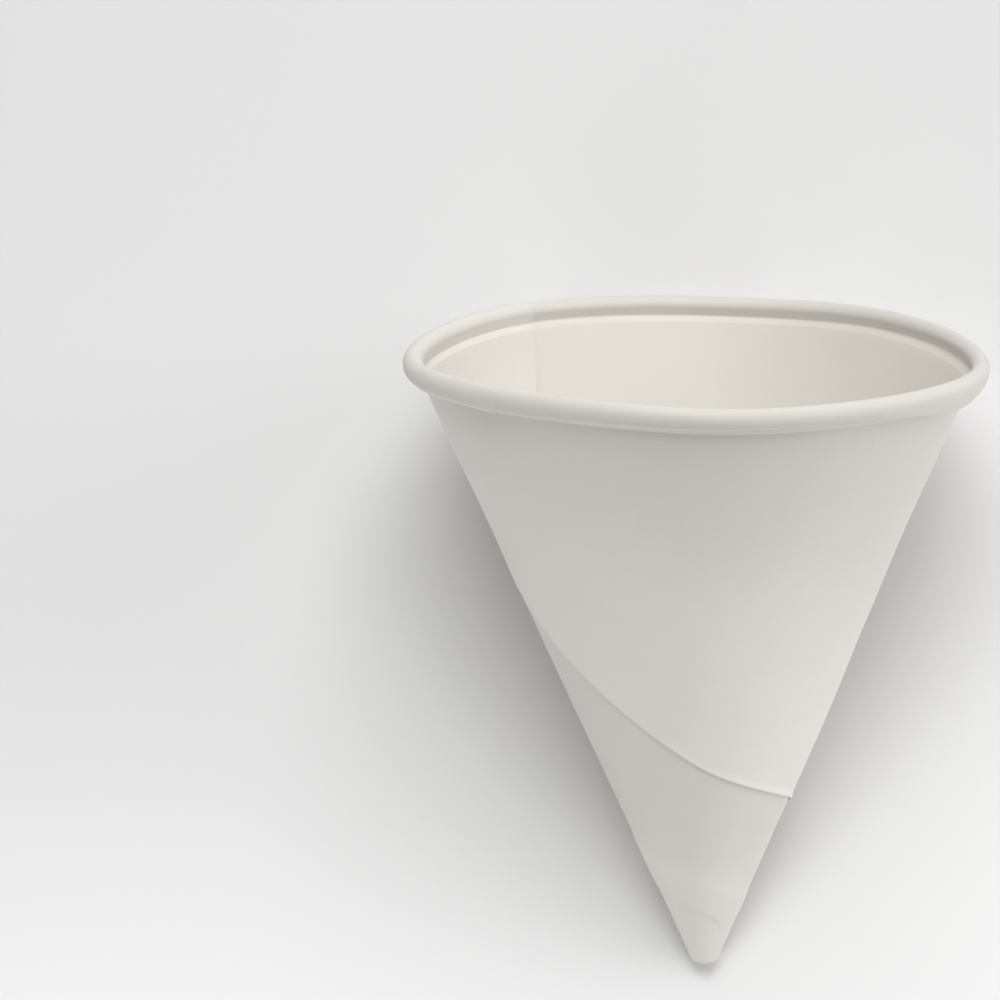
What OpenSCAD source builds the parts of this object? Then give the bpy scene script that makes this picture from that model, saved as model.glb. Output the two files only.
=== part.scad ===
// Cone paper cup with a rolled rim.
// One sheet of waxed paper is wound a turn and a quarter into a cone. The two cut edges
// of the sheet run down the cone as the same curve, one on the outside and one, a turn
// and the lap later, on the inside. Under the rim the outer edge is pressed through and
// shows as a step inside too. The tip is pressed blunt, and the mouth is rolled outwards
// into a hollow bead over a groove and a short neck.
// The cup can't stand on its tip, so it lies on its side: the bead and the tip touch the
// table, each with a small flat spot, the tip points to -Y, the mouth opens to +Y, and
// the front of the cup looks up.

/* [Cup] */
// Outside diameter of the rolled rim
rim_d = 80; // [60:0.5:110]
// Height from the blunt tip to the top of the rim
cup_h = 90; // [70:0.5:130]
// Thickness of the paper
paper_t = 0.2; // [0.16:0.02:0.26]
// Width of the flat spot on the bead, where the cup lies on it
flat_w = 5.6; // [3:0.2:6]

/* [Tip] */
// Width of the blunt tip
tip_w = 4.3; // [3.4:0.1:7]
// Radius of the rounding round the tip
tip_r = 1.3; // [0.9:0.1:1.6]

/* [Rim] */
// Width of the rolled bead, across the wall
bead_w = 2.4; // [2:0.1:2.8]
// Height of the straight side between the upper and the lower round of the bead
bead_side = 0.1; // [0.1:0.1:0.6]
// How far the inside of the bead leans in over the groove
bead_lean = 15; // [5:1:20]
// How far the roll turns under, past its outermost side
bead_under = 110; // [70:5:115]
// Distance of the cone's outside in from the rim's outside, where it meets the neck
wall_in = 2.7; // [2.5:0.1:5]
// Depth of the neck's lower bend below the top of the rim
crest_drop = 4.4; // [4.1:0.1:6]
// Distance of the neck's outside in from the rim's outside
neck_in = 2.7; // [2.5:0.05:3.1]
// Depth of the neck's upper bend below the top of the rim
neck_drop = 3.5; // [3.3:0.1:3.8]
// Depth of the groove inside the bead below the top of the rim
groove_drop = 2.7; // [2.5:0.05:2.9]
// Radius of the bends in the neck
bend_r = 0.5; // [0.3:0.05:0.6]

/* [Lap] */
// Angle from the front at which the outer edge of the sheet leaves the rim
lap_start = -141; // [-180:1:-90]
// How far the sheet runs on past a full turn
lap_over = 99; // [20:1:180]
// Share of the slant, from the tip, at which the edges end
lap_end = 0.14; // [0.13:0.01:0.4]
// Share of the slant down to which the outer edge shows inside
press_end = 0.72; // [0.5:0.01:0.9]
// Angle over which the sheet lies proud beside its edge before it settles
lap_fade = 8; // [5:1:12]

/* [Hidden] */
$fn = 128;

paper = "#e8e5de";
half_t = paper_t / 2;

// Coarsest step of a bend in the paper
step_a = 15;

// Middle line of the paper at the rim, as radius and height
rim_r = rim_d / 2;
crest = [rim_r - wall_in - half_t, cup_h - crest_drop];
neck = [rim_r - neck_in - half_t, cup_h - neck_drop];
roll_r = bead_w / 2 - half_t;
roll_top = [rim_r - bead_w / 2, cup_h - bead_w / 2];
roll_low = roll_top - [0, bead_side];
roll_start = roll_top - roll_r * [cos(bead_lean), sin(bead_lean)];
groove_z = cup_h - groove_drop;
groove = [roll_start[0] + (roll_start[1] - groove_z) * tan(bead_lean), groove_z];

// The cone's half angle comes from the line that touches the tip's rounding and passes
// through the crest
tip_c = [tip_w / 2 - tip_r, tip_r];
to_crest = crest - tip_c;
half_a = atan2(to_crest[0], to_crest[1]) - asin((tip_r - half_t) / norm(to_crest));
slant = [sin(half_a), cos(half_a)];
outward = [cos(half_a), -sin(half_a)];

function unit(v) = v / norm(v);

// Points on a circle about c, from angle a to angle b, measured from the radius axis
function arc(c, r, a, b) =
    let (n = max(2, ceil(abs(b - a) / step_a)))
    [for (i = [0 : n]) let (q = a + (b - a) * i / n) c + r * [cos(q), sin(q)]];

// Rounds the corner q of the path p, q, s, for a face at a distance d to its right
function bend(p, q, s, d) =
    let (d1 = unit(q - p), d2 = unit(s - q))
    let (turn = atan2(d1[0] * d2[1] - d1[1] * d2[0], d1 * d2))
    let (side = sign(turn))
    let (start = q - d1 * bend_r * tan(abs(turn) / 2))
    let (c = start + side * bend_r * [-d1[1], d1[0]])
    let (a = atan2(start[1] - c[1], start[0] - c[0]))
    arc(c, bend_r + side * d, a, a + turn);

// One face of the paper, from the middle of the tip to the free end of the roll, at a
// distance d from the paper's middle, positive on the outside of the cone
function face(d) = concat(
    [[0, half_t - d]],
    arc(tip_c, tip_r - half_t + d, -90, -half_a),
    bend(crest - slant, crest, neck, d),
    bend(crest, neck, groove, d),
    bend(neck, groove, roll_start, d),
    arc(roll_top, roll_r - d, 180 + bead_lean, 0),
    arc(roll_low, roll_r - d, 0, -bead_under)
);

function reversed(v) = [for (i = [len(v) - 1 : -1 : 0]) v[i]];

module section() {
    polygon(concat(face(half_t), reversed(face(-half_t))));
}

// Distances along the slant count from the point where the cone's outside would close
cone_top = crest + half_t * outward;
slant_crest = cone_top[0] / slant[0];
slant_top = slant_crest - bend_r;

// A point of the cone at angle a from the front, slant s and height h over its outside
function on_cone(a, s, h) =
    let (q = cone_top + (s - slant_crest) * slant + h * outward)
    [q[0] * sin(a), -q[0] * cos(a), q[1]];

// The edge leaves the rim almost square, swings across the side, runs more steeply down
// the front and then winds evenly to the tip. Each row holds the share of the slant at
// which a stretch begins, and how many degrees it winds while the slant shrinks e times.
stretches = [[1, 12], [0.88, 279], [0.711, 155], [0.415, 345]];
blend = 0.06;
function ramp(x) = (x + sqrt(x * x + blend * blend)) / 2;
function winding(g, i = 0) =
    i == len(stretches) ? 0
    : winding(g, i + 1) + (i == 0
        ? stretches[0][1] * g
        : (stretches[i][1] - stretches[i - 1][1])
            * (ramp(g + ln(stretches[i][0])) - ramp(ln(stretches[i][0]))));

// The sheet beside an edge lies proud by its own thickness and settles across the fade.
// out is 1 on the outside and -1 on the inside. way is 1 where the sheet lies at larger
// angles than its edge and -1 where it lies at smaller ones. past is how far the edge is
// from the outer one, and last the share of the slant at which it ends. Each strip is a
// grid of rows along the edge and cols across the fade, bedded into the wall.
cols = 3;
settled = 0.25;
bed = 0.2 * paper_t;
function lap_point(out, way, past, last, rows, j, k, l) =
    let (g = -ln(last) * j / rows)
    let (s = slant_top * exp(-g))
    let (pitch = (winding(g + 0.01) - winding(g)) / 0.01 * PI / 180 * slant[0])
    let (across = atan(pitch))
    let (a = lap_start + winding(g) + past + way * lap_fade * cos(across) * k / cols)
    let (rise = s * slant[0] * lap_fade * PI / 180 * sin(across) * min(1, j / 10))
    let (s2 = min(slant_top, s + way * rise * k / cols))
    let (taper = min(1, 0.1 + (rows - j) / 8))
    let (proud = l == 0 ? -bed : paper_t * taper * (1 - (1 - settled) * k / cols))
    on_cone(a, s2, out > 0 ? proud : -paper_t - proud);

function at(j, k, l) = (j * (cols + 1) + k) * 2 + l;
function quad(a, b, c, d) = [[a, b, c], [a, c, d]];

module lap(out, way, past, last, rows) {
    points = [for (j = [0 : rows], k = [0 : cols], l = [0, 1])
        lap_point(out, way, past, last, rows, j, k, l)];
    skins = [for (j = [0 : rows - 1], k = [0 : cols - 1])
        let (a = at(j, k, 0), b = at(j + 1, k, 0), c = at(j + 1, k + 1, 0), d = at(j, k + 1, 0))
        concat(quad(a, b, c, d), quad(d + 1, c + 1, b + 1, a + 1))];
    sides = [for (j = [0 : rows - 1]) concat(
        quad(at(j, 0, 1), at(j + 1, 0, 1), at(j + 1, 0, 0), at(j, 0, 0)),
        quad(at(j + 1, cols, 1), at(j, cols, 1), at(j, cols, 0), at(j + 1, cols, 0)))];
    ends = [for (k = [0 : cols - 1]) concat(
        quad(at(0, k + 1, 1), at(0, k, 1), at(0, k, 0), at(0, k + 1, 0)),
        quad(at(rows, k, 1), at(rows, k + 1, 1), at(rows, k + 1, 0), at(rows, k, 0)))];
    faces = [for (group = concat(skins, sides, ends)) for (f = group)
        out * way > 0 ? f : reversed(f)];
    polyhedron(points, faces);
}

// Lying on its side, the cup touches the table with its bead and its tip, and sinks by
// the depth of the flat spots
to_bead = roll_low - tip_c;
rest_a = atan2(to_bead[0], to_bead[1]) - asin((tip_r - bead_w / 2) / norm(to_bead));
rest_lift = tip_c[0] * cos(rest_a) - tip_c[1] * sin(rest_a) + tip_r;
mouth_y = roll_top[0] * sin(rest_a) + roll_top[1] * cos(rest_a) + bead_w / 2;
tip_y = -tip_c[0] * sin(rest_a) + tip_c[1] * cos(rest_a) - tip_r;
sink = (rim_r - sqrt(rim_r * rim_r - flat_w * flat_w / 4)) * cos(rest_a);

module cup() {
    color(paper)
        difference() {
            translate([0, -(mouth_y + tip_y) / 2, rest_lift - sink])
                rotate([rest_a - 90, 0, 0])
                    union() {
                        rotate_extrude() section();
                        lap(1, 1, 0, lap_end, 120);
                        lap(-1, -1, 360 + lap_over, lap_end, 120);
                        lap(-1, 1, 0, press_end, 40);
                    }
            translate([-rim_d, -cup_h, -10])
                cube([2 * rim_d, 2 * cup_h, 10]);
        }
}

cup();
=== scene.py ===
import bpy
import numpy as np
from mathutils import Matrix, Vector


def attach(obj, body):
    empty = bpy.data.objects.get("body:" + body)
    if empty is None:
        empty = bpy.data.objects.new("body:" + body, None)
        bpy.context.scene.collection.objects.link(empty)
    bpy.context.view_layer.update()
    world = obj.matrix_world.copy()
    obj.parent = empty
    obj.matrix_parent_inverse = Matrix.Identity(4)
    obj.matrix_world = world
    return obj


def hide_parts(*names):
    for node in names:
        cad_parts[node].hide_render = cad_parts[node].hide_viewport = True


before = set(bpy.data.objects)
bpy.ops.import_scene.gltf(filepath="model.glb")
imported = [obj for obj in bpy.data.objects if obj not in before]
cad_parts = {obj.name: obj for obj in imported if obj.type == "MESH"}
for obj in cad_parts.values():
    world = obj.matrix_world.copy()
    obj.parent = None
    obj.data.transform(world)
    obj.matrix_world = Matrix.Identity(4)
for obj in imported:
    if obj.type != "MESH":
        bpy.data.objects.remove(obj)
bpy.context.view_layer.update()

# The cup is one sheet of waxed paper, wound a turn and a quarter into a cone and glued where it
# laps. Its mouth is rolled outwards into a hollow bead over a groove, and its tip is pressed
# blunt. It lies on its side, on the bead and the tip. Lengths are in millimetres.
rim_r, cup_h, paper_t = 40.0, 90.0, 0.2
tip_w, tip_r = 4.3, 1.3
bead_w, bead_side, bead_lean, bead_under = 2.4, 0.1, 22.0, 110.0
wall_in, crest_drop, neck_drop, groove_drop, bend_r = 2.7, 4.4, 3.65, 2.85, 0.5
lap_start, lap_over, flat_w = -141.0, 99.0, 5.6

half_t = paper_t / 2
crest = np.array([rim_r - wall_in - half_t, cup_h - crest_drop])
roll_r = bead_w / 2 - half_t
roll_top = np.array([rim_r - bead_w / 2, cup_h - bead_w / 2])
roll_low = roll_top - [0, bead_side]
lean = np.radians(bead_lean)
roll_start = roll_top - roll_r * np.array([np.cos(lean), np.sin(lean)])
groove_z = cup_h - groove_drop
groove = np.array([roll_start[0] + (roll_start[1] - groove_z) * np.tan(lean), groove_z])
tip_c = np.array([tip_w / 2 - tip_r, tip_r])


def touching(a, b, gap):
    """Angle from the axis of the line that leaves a circle of radius gap about a and passes
    through b."""
    d = b - a
    return np.degrees(np.arctan2(d[0], d[1]) - np.arcsin(gap / np.hypot(*d)))


# The wall runs straight on past the crest, as a short neck, to the bend under the groove.
half_a = touching(tip_c, crest, tip_r - half_t)
slant = np.array([np.sin(np.radians(half_a)), np.cos(np.radians(half_a))])
outward = np.array([slant[1], -slant[0]])
neck = crest + (crest_drop - neck_drop) / slant[1] * slant
slant_crest = (crest + half_t * outward)[0] / slant[0]
slant_top = slant_crest - bend_r


def smooth(x, a, b):
    """0 before a, 1 after b, and 3 t^2 - 2 t^3 between them, t being the share of the way."""
    t = np.clip((x - a) / (b - a), 0, 1)
    return t * t * (3 - 2 * t)


def winding(g):
    """Degrees that the sheet's edge has wound when the slant has shrunk e^g times: a sum of
    stretches of even winding, each joined to the next by the soft ramp
    (x + sqrt(x^2 + blend^2)) / 2."""
    starts = np.log([1, 0.88, 0.711, 0.415, 0.135])
    rates = np.array([12, 279, 155, 345, 0])
    blend = 0.06
    ramp = lambda x: (x + np.sqrt(x * x + blend ** 2)) / 2
    steps = np.diff(rates)
    return rates[0] * g + sum(k * (ramp(g + s) - ramp(s)) for k, s in zip(steps, starts[1:]))


def arc(centre, radius, start, end, steps):
    """Points of a circle about centre from start to end degrees, with normals to the right of the
    way of travel: away from the centre where the angle grows and towards it where it falls."""
    q = np.radians(np.linspace(start, end, steps))
    ring = np.stack([np.cos(q), np.sin(q)], 1)
    return np.concatenate([centre + radius * ring, ring * np.sign(end - start)], 1)


def bend(p, q, s, steps):
    """The corner q of the path p, q, s, rounded by an arc of radius bend_r that touches both of
    its sides."""
    d1, d2 = (q - p) / np.hypot(*(q - p)), (s - q) / np.hypot(*(s - q))
    turn = np.arctan2(d1[0] * d2[1] - d1[1] * d2[0], d1 @ d2)
    start = q - d1 * bend_r * np.tan(abs(turn) / 2)
    centre = start + np.sign(turn) * bend_r * np.array([-d1[1], d1[0]])
    a = np.degrees(np.arctan2(*(start - centre)[::-1]))
    return arc(centre, bend_r, a, a + np.degrees(turn), steps)


# Middle line of the paper from the tip's middle to the free end of the roll, as radius, height and
# the normal on the cone's outside. The wall's rows are closer where the edge winds faster.
wall_rows, under_rows = 132, 15
wind_pace, even_pace, tip_pace, tip_clear = 0.26, 30, 25, 0.02
tip_flat = np.stack([np.linspace(0, tip_c[0], 5), np.full(5, half_t), np.zeros(5), -np.ones(5)], 1)
tip_round = arc(tip_c, tip_r - half_t, -90, -half_a, 7)
wall_low = slant_crest - np.hypot(*(crest - tip_round[-1, :2]))
shrunk = np.linspace(0, np.log(slant_top / wall_low) - tip_clear, 4000)
steepness = np.gradient(winding(shrunk), shrunk)
pace = np.hypot(steepness * wind_pace, even_pace + tip_pace * shrunk)
pace = np.cumsum(pace * np.gradient(shrunk))
g = np.interp(np.linspace(pace[0], pace[-1], wall_rows), pace, shrunk)[::-1]
wall = crest + (slant_top * np.exp(-g) - slant_crest)[:, None] * slant
path = np.concatenate([
    tip_flat[:-1],
    tip_round,
    np.concatenate([wall, np.broadcast_to(outward, wall.shape)], 1),
    bend(crest, neck, groove, 8),
    bend(neck, groove, roll_start, 7),
    arc(roll_top, roll_r, 180 + bead_lean, 0, 19),
    arc(roll_low, roll_r, 0, -bead_under, under_rows)])
rows = len(path)
tip_rows = len(tip_flat) - 1 + len(tip_round)
wound = np.concatenate([np.full(tip_rows, g[0]), g, np.zeros(rows - tip_rows - wall_rows)])
under = (np.arange(rows) >= rows - under_rows)[:, None]
path_r, path_z = path[:, 0, None], path[:, 1, None]

# Columns run across the sheet, from its outer cut edge to its inner one, closer beside both. They
# are given in degrees past the outer edge, and the lap narrows to nothing at the tip.
spacing = np.concatenate([
    [0, 0.3, 0.8], np.arange(1.5, 12, 1.5), np.linspace(13, 355, 134),
    np.linspace(356.5, 363.5, 15), np.linspace(366, 448, 33), np.linspace(450, 457, 6),
    [458.2, 458.7, 459]])
across = spacing / spacing[-1]
lapped = smooth(path_z, 4.5, 9.5)
past = across * (360 + lap_over * lapped)
theta = lap_start + winding(wound)[:, None] + past
turn = np.radians(theta)


def waves(t, *terms):
    """Sum of height cos(n t + phase) over the terms (n, phase, height), t in radians."""
    return sum(h * np.cos(n * t + p) for n, p, h in terms)


def near(t, centre, width):
    """A bell exp(-d^2 / width^2) of the angle d, in degrees, between t and centre, the short way
    round."""
    d = (t - centre + 180) % 360 - 180
    return np.exp(-(d / width) ** 2)


# At the lap the outer layer lies over the inner one and settles beyond it. Near the rim the inner
# layer is pressed inwards instead.
lap_stand, tip_stand = 1.06, 0.55
sheet_end = 360 + lap_over
pressed = smooth(np.exp(-wound), 0.62, 0.80)[:, None]
flush = 1 - 0.65 * smooth(path_z, cup_h - 5, cup_h - 2.5) * smooth(past, sheet_end - 12, sheet_end)
outer_over = (1 - pressed) * (1 - smooth(past, lap_over + 1, lap_over + 40))
inner_under = pressed * flush * smooth(past, 359.4, 361.3)
standing = tip_stand + (1 - tip_stand) * smooth(path_z, 9, 24)
proud = paper_t * lap_stand * lapped * standing * (outer_over - inner_under)

# The outer cut edge lifts a little, most on the right.
edge_reach = 1.2
edge_lean = np.arctan(np.interp(wound, shrunk, steepness) * np.radians(1) * slant[0])
edge_gap = path_r * np.radians(past) * np.cos(edge_lean)[:, None]
flare = 0.05 + 0.05 * near(theta, -70, 40) + 0.2 * near(theta, 55, 38)
at_edge = (1 - smooth(edge_gap, 0, edge_reach)) * smooth(path_z, 12, 20) * (1 - pressed)
proud = proud + flare * at_edge

# The wall is fuller at the upper left and slimmer at the upper right. The rim is slightly out of
# true, and the tip is pressed up a little and leans aside.
full_left, slim_right = 0.6, 0.7
tip_up, tip_off = 1.0, 0.8
high = path_z / cup_h
settle = waves(turn, (2, 0.6, 0.10), (3, 2.1, 0.05)) + full_left * near(theta, -95, 40)
settle = settle * high ** 2 + waves(turn, (4, 1.0, 0.05)) * np.sin(np.pi * high) ** 2
settle = settle - slim_right * near(theta, 95, 35) * high ** 2 * (1 - smooth(path_z, 85.5, 88))
ripple = waves(turn, (3, 0.4, 0.05), (5, 1.3, 0.05), (9, 2.2, 0.03))
bent = waves(
    turn, (0, 0, -0.41), (1, 1.60, 0.57), (2, 0.22, 0.36), (3, 1.38, 0.12), (4, 3.02, 0.27))
lift = smooth(path_z, cup_h - 6, cup_h - 2) * ripple + smooth(path_z, 62, cup_h - 4) * bent
lift = lift + tip_up * (1 - smooth(path_z, 1, 50))

# Two layers fill the groove more than one. Under the bead the roll is fuller in places, each a
# bell given by its height, angle and width, and its free end runs unevenly.
groove_fill, loose_end = 0.35, 10
bulges = ((0.28, -42, 7), (0.12, -27, 5), (1.6, 64, 22), (0.65, -35, 35), (0.25, 15, 25))
layered_rim = 1 - smooth(past, lap_over - 4, lap_over + 4) + smooth(past, 359, 362)
in_groove = smooth(path_z, cup_h - 5.5, cup_h - 3.7)
in_groove = in_groove * (1 - smooth(path_z, cup_h - 2.5, cup_h - 1.7))
filled = groove_fill * layered_rim * in_groove * (path_r < roll_top[0]) * ~under
full = waves(turn, (6, 0.2, 0.05), (11, 1.7, 0.04), (17, 0.5, 0.03))
full = under * (full + sum(height * near(theta, place, width) for height, place, width in bulges))
share = np.clip((np.arange(rows) - (rows - under_rows)) / (under_rows - 1), 0, 1)[:, None]
loose = 1 - smooth(past, lap_over - 4, lap_over + 6) + smooth(past, 357, 364)
uneven = waves(turn, (5, 0.9, 5.0), (13, 2.0, 3.0), (22, 0.1, 2.0))
q = -np.radians(share * (bead_under - loose_end * loose + uneven))
normal_r = np.where(under, -np.cos(q), path[:, 2, None])
normal_z = np.where(under, -np.sin(q), path[:, 3, None])
middle_r = np.where(under, roll_low[0] + roll_r * np.cos(q), path_r)
middle_r = middle_r + (settle - filled) * smooth(middle_r, 0, 3)
middle_z = np.where(under, roll_low[1] + roll_r * np.sin(q), path_z)
middle_z = middle_z - full * np.sin(q) ** 2 + lift

# Lying down, the cup sinks by the depth of its flat spots, and its length is centred.
rest_a = np.radians(touching(tip_c, roll_low, tip_r - bead_w / 2))
sink = (rim_r - np.sqrt(rim_r ** 2 - flat_w ** 2 / 4)) * np.cos(rest_a)
rest_lift = tip_c @ [np.cos(rest_a), -np.sin(rest_a)] + tip_r - sink
mouth_y = roll_top @ [np.sin(rest_a), np.cos(rest_a)] + bead_w / 2
tip_y = tip_c @ [-np.sin(rest_a), np.cos(rest_a)] - tip_r


def laid(r, z):
    """Turns radius and height round the axis by theta, leans the tip aside, lays the axis down by
    the rest angle and puts the cup on the floor, where what would sink below it is pressed flat.
    Gives metres."""
    to_tip = 1 - z / cup_h
    x, y = r * np.sin(turn) + tip_off * to_tip, -r * np.cos(turn)
    along = y * np.sin(rest_a) + z * np.cos(rest_a) - (mouth_y + tip_y) / 2
    above = z * np.sin(rest_a) - y * np.cos(rest_a) + rest_lift - tip_up * np.sin(rest_a) * to_tip
    return np.stack([x, along, np.maximum(above, 0)], -1) * 0.001


def faces_of(index, flip):
    """Quads between neighbouring rows and columns of a grid of vertex numbers."""
    corners = [index[:-1, :-1], index[:-1, 1:], index[1:, 1:], index[1:, :-1]]
    quads = np.stack(corners, -1).reshape(-1, 4)
    return quads[:, ::-1] if flip else quads


# Both sides of the sheet close up at the tip, where the two edges meet, and strips of their own
# vertices close the cut edges and the free end of the roll. Each vertex carries a tone: 1 where
# two layers lie on each other, 0 where there is one, and half way between at the tip.
sides = [laid(middle_r + normal_r * (proud + d), middle_z + normal_z * (proud + d))
         for d in (half_t, -half_t)]
cols = len(across)
first_lap = int(np.argmax(lapped[:, 0] > 0))
tip_tone, edge_tone, inside_less = 0.5, 0.4, 0.6
doubled = 1 - smooth(past, 60, 190) + smooth(past, 358.5, 361)
points, quads, second_layer = [], [], []
count = 0
for n, side in enumerate(sides):
    index = count + np.arange(rows * cols).reshape(rows, cols)
    index[0] = index[0, 0]
    index[:first_lap, -1] = index[:first_lap, 0]
    points.append(side.reshape(-1, 3))
    quads.append(faces_of(index, n == 1))
    tone = tip_tone + smooth(path_z, 8, 26) * (doubled * (1 - inside_less * n) - tip_tone)
    second_layer.append(tone.ravel())
    count += rows * cols
outside, inside = sides
lap_rows = slice(first_lap - 1, None)
for pair in ((outside[lap_rows, 0], inside[lap_rows, 0]),
             (inside[lap_rows, -1], outside[lap_rows, -1]),
             (inside[-1], outside[-1])):
    strip = np.stack(pair)
    index = count + np.arange(strip.shape[0] * strip.shape[1]).reshape(strip.shape[:2])
    points.append(strip.reshape(-1, 3))
    quads.append(faces_of(index, True))
    second_layer.append(np.full(index.size, edge_tone))
    count += index.size
points, quads = np.concatenate(points), np.concatenate(quads)
second_layer = np.concatenate(second_layer)
pole = quads[:, 0] == quads[:, 1]
pole_back = quads[:, 2] == quads[:, 3]
triangles = np.concatenate([quads[pole][:, 1:], quads[pole_back][:, :3]])
quads = quads[~(pole | pole_back)]
used, numbers = np.unique(np.concatenate([quads.ravel(), triangles.ravel()]), return_inverse=True)
quads, triangles = numbers[:quads.size].reshape(-1, 4), numbers[quads.size:].reshape(-1, 3)

paper_mesh = bpy.data.meshes.new("cup_paper")
paper_mesh.from_pydata(points[used].tolist(), [], quads.tolist() + triangles.tolist())
paper_mesh.polygons.foreach_set("use_smooth", np.ones(len(paper_mesh.polygons), bool))
layers = paper_mesh.attributes.new("second_layer", "FLOAT", "POINT")
layers.data.foreach_set("value", second_layer[used].astype(np.float32))
paper_mesh.update()
cup = bpy.data.objects.new("cup_paper", paper_mesh)
bpy.context.scene.collection.objects.link(cup)


class Value:
    """A shader socket that takes part in Python arithmetic."""

    def __init__(self, tree, socket):
        self.tree, self.socket = tree, socket

    def node(self, kind, settings=None, out=0, **sockets):
        """Adds a node, sets its settings and then its sockets, given as i0, i1 or by name, and
        returns one of its outputs."""
        n = self.tree.nodes.new(kind)
        for key, value in (settings or {}).items():
            setattr(n, key, value)
        for key, value in sockets.items():
            numbered = key[0] == "i" and key[1:].isdigit()
            socket = n.inputs[int(key[1:]) if numbered else key.replace("_", " ")]
            if isinstance(value, Value):
                self.tree.links.new(value.socket, socket)
            else:
                socket.default_value = value
        return Value(self.tree, n.outputs[out])

    def math(self, operation, a, b):
        """A Math node on two values."""
        return self.node("ShaderNodeMath", {"operation": operation}, i0=a, i1=b)

    def __add__(self, other): return self.math("ADD", self, other)
    def __radd__(self, other): return self.math("ADD", other, self)
    def __sub__(self, other): return self.math("SUBTRACT", self, other)
    def __rsub__(self, other): return self.math("SUBTRACT", other, self)
    def __mul__(self, other): return self.math("MULTIPLY", self, other)
    def __rmul__(self, other): return self.math("MULTIPLY", other, self)


# Waxed paper: an off-white sheet with a cloudy formation, fine fibres and a dull sheen. Where two
# layers lie on each other less light passes through, so the paper looks a little lighter there.
# Each noise is centred on nought, and its factors say how much it marks tone, sheen and relief.
single_colour, double_colour = (0.725, 0.700, 0.650, 1), (0.83, 0.805, 0.75, 1)
paper = bpy.data.materials.new("waxed_paper")
paper.use_nodes = True
tree = paper.node_tree
shader = tree.nodes["Principled BSDF"]
place = Value(tree, tree.nodes.new("ShaderNodeTexCoord").outputs["Object"])
noise = "ShaderNodeTexNoise"
cloud = place.node(noise, Vector=place, Scale=260.0, Detail=4.0, Roughness=0.6) - 0.5
grain = place.node(noise, Vector=place, Scale=2600.0, Detail=3.0, Roughness=0.7) - 0.5
blotch = place.node(noise, Vector=place, Scale=45.0, Detail=2.0, Roughness=0.5) - 0.5
layered = place.node("ShaderNodeAttribute", {"attribute_name": "second_layer"}, out=2)
tone = layered * 0.9 + cloud * 0.28 + grain * 0.2 + blotch * 0.3
colour = place.node(
    "ShaderNodeMix", {"data_type": "RGBA"}, out=2, i0=tone, i6=single_colour, i7=double_colour)
tree.links.new(colour.socket, shader.inputs["Base Color"])
rough = 0.56 + cloud * 0.2 + grain * 0.12
tree.links.new(rough.socket, shader.inputs["Roughness"])
relief = grain * 0.35 + cloud * 0.5
bump = place.node("ShaderNodeBump", Strength=0.10, Distance=0.0002, Height=relief)
tree.links.new(bump.socket, shader.inputs["Normal"])
shader.inputs["Specular IOR Level"].default_value = 0.35
paper_mesh.materials.append(paper)
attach(cup, "root")
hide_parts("cup")

# The floor is a wide pale board, flat and matt, with nothing on it but the cup. Away from the cup
# the camera sees it fade into a plain pale backdrop. Lengths are in metres from here on.
floor_half, fade_start, fade_end, far_tone = 3, 0.16, 0.6, 0.8
floor_mesh = bpy.data.meshes.new("floor")
floor_mesh.from_pydata(
    [(x * floor_half, y * floor_half, 0) for x, y in ((-1, -1), (1, -1), (1, 1), (-1, 1))],
    [], [(0, 1, 2, 3)])
floor = bpy.data.objects.new("floor", floor_mesh)
bpy.context.scene.collection.objects.link(floor)


def seen_by_camera(tree):
    """1 where the camera looks straight at a surface, and 0 in the light it gives to others."""
    return Value(tree, tree.nodes.new("ShaderNodeLightPath").outputs["Is Camera Ray"])


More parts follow.
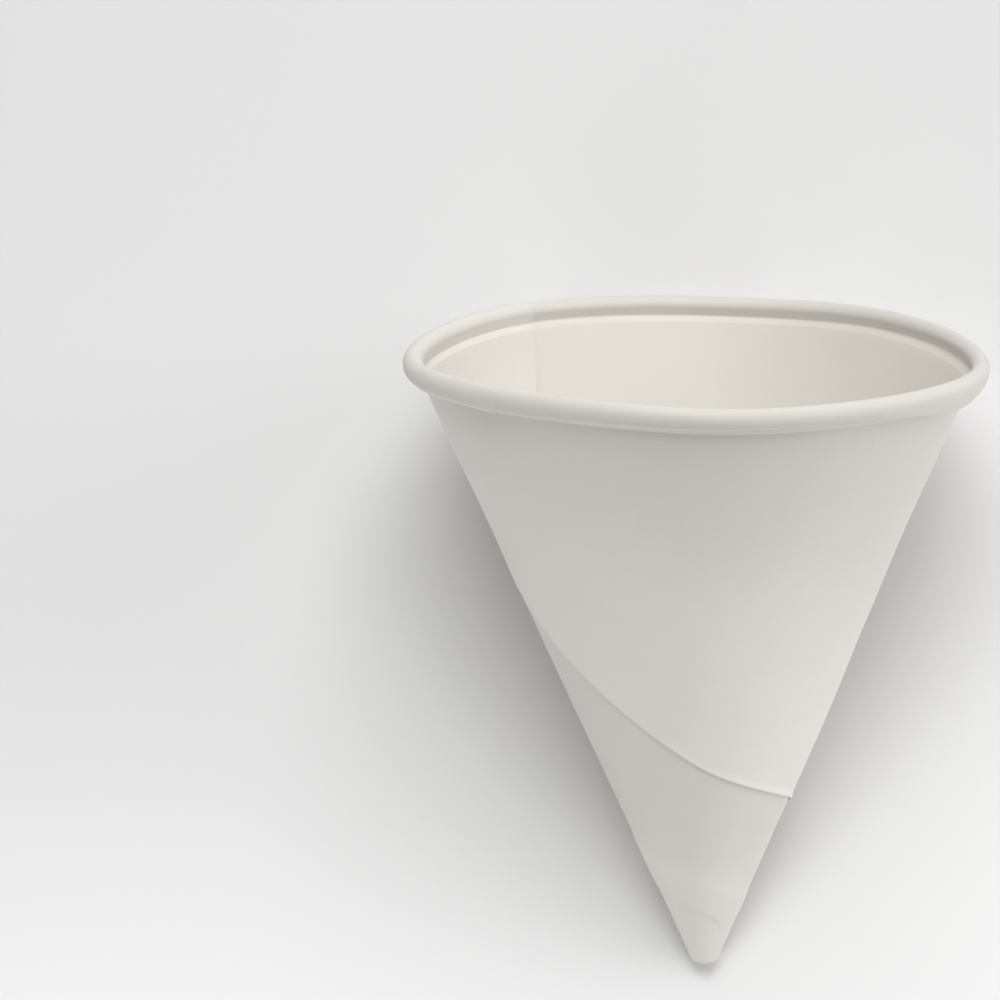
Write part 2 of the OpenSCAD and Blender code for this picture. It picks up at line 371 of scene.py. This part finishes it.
board = bpy.data.materials.new("pale_board")
board.use_nodes = True
tree = board.node_tree
shader = tree.nodes["Principled BSDF"]
shader.inputs["Base Color"].default_value = (0.80, 0.80, 0.80, 1)
shader.inputs["Roughness"].default_value = 0.9
spot = Value(tree, tree.nodes.new("ShaderNodeTexCoord").outputs["Object"])
away = spot.node("ShaderNodeVectorMath", {"operation": "LENGTH"}, out=1, i0=spot)
far = spot.node("ShaderNodeMapRange", {"interpolation_type": "SMOOTHSTEP"},
                Value=away, From_Min=fade_start, From_Max=fade_end)
backdrop = spot.node("ShaderNodeEmission", Strength=far_tone)
board_look = spot.node("ShaderNodeMixShader", i0=far * seen_by_camera(tree),
                       i1=Value(tree, shader.outputs[0]), i2=backdrop)
tree.links.new(board_look.socket, tree.nodes["Material Output"].inputs["Surface"])
floor_mesh.materials.append(board)

# Soft studio light: a broad lamp high behind the mouth, one on the right, and three weak ones close
# to the table, on both sides of the tip and on the right, in place of the light that a pale table
# throws back. Each row holds a name, a place, an aim, a size and a power.
cup_middle, tip_half_left, tip_half = (0, 0.02, 0.03), (-0.01, -0.03, 0.02), (0.01, -0.03, 0.02)
for name, place_at, aim, size, watts in (
        ("key", (0, 0.60, 1.0), cup_middle, 0.8, 11.4),
        ("right", (0.90, 0.25, 0.45), cup_middle, 0.6, 2.9),
        ("tip_left", (-0.12, -0.17, 0.10), tip_half_left, 0.12, 0.152),
        ("tip_right", (0.12, -0.17, 0.10), tip_half, 0.12, 0.04),
        ("side_right", (0.15, -0.07, 0.05), tip_half, 0.06, 0.056)):
    lamp_data = bpy.data.lights.new(name, "AREA")
    lamp_data.size, lamp_data.energy = size, watts
    lamp = bpy.data.objects.new(name, lamp_data)
    lamp.location = place_at
    lamp.rotation_euler = Vector(np.subtract(aim, place_at)).to_track_quat("-Z", "Y").to_euler()
    bpy.context.scene.collection.objects.link(lamp)

# The studio round the cup gives a weak even light, and the camera sees it as the pale backdrop.
sky_level = 0.108
world = bpy.data.worlds.new("studio")
world.use_nodes = True
tree = world.node_tree
sky = tree.nodes["Background"]
sky.inputs["Color"].default_value = (1, 1, 1, 1)
sky_strength = sky_level + seen_by_camera(tree) * (far_tone - sky_level)
tree.links.new(sky_strength.socket, sky.inputs["Strength"])
bpy.context.scene.world = world
bpy.context.scene.view_settings.view_transform = "Standard"

# The camera looks down on the cup along the photograph's line of sight, from about 0.65 m, through
# a long lens, aimed to the left of the cup as the photograph frames it.
camera_data = bpy.data.cameras.new("camera")
camera_data.lens, camera_data.sensor_width = 164.434, 36.0
camera = bpy.data.objects.new("camera", camera_data)
camera.location = (0, -0.096442, 0.652843)
camera.rotation_euler = np.radians([10.028414, 2.464130, 0.334839])
bpy.context.scene.collection.objects.link(camera)
bpy.context.scene.camera = camera
